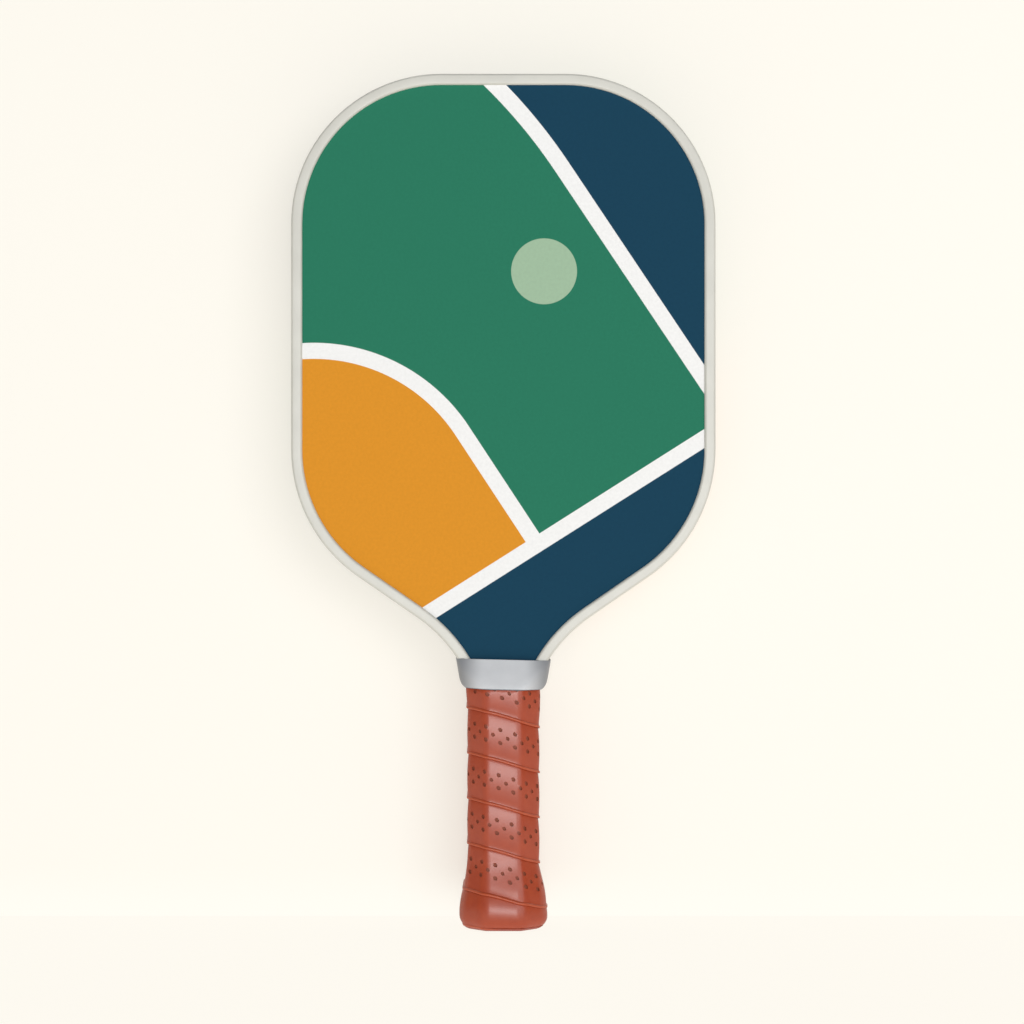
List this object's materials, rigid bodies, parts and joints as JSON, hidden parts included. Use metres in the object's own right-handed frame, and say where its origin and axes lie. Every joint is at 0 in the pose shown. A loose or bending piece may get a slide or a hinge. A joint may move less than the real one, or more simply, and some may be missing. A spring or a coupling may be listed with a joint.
{
  "type": "pickleball paddle",
  "caption": "Flat-faced court paddle with an elongated round-cornered head, an edge guard, a short flared handle in a wound cushion grip, and a stretch collar at the neck.",
  "frame": {"origin": "centre of the butt end's flat face, on the paddle's middle plane", "axes": "+Z from the butt end to the tip of the head, +X across the width, -Y out of the front face"},
  "size_m": [0.201, 0.0384, 0.405],
  "materials": {
    "core": "natural polypropylene honeycomb",
    "scrim": "thin non-woven polyester fleece",
    "front_skin": "printed fibreglass skin with a satin, lightly textured coat",
    "back_skin": "printed fibreglass skin with a satin, lightly textured coat",
    "tape": "double-sided foam tape",
    "guard": "satin extruded soft plastic, warm off-white",
    "foam": "closed-cell structural foam",
    "cap": "moulded plastic, terracotta",
    "wire": "galvanised wire",
    "badge": "plain moulded disc",
    "grip": "perforated synthetic leather on a cushion backing, terracotta, satin",
    "grip_tape": "thin vinyl tape",
    "collar": "smooth light grey silicone"
  },
  "bodies": {
    "root": {"honeycomb_core": "core", "front_scrim": "scrim", "back_scrim": "scrim", "front_face": "front_skin", "back_face": "back_skin", "guard_tape": "tape", "edge_guard": "guard", "handle_pallet_front": "foam", "handle_pallet_back": "foam", "butt_cap": "cap", "cap_staples": "wire", "butt_badge": "badge", "grip_tack": "wire", "grip_strap": "grip", "finishing_tape": "grip_tape", "grip_collar": "collar"}
  },
  "joints": []
}
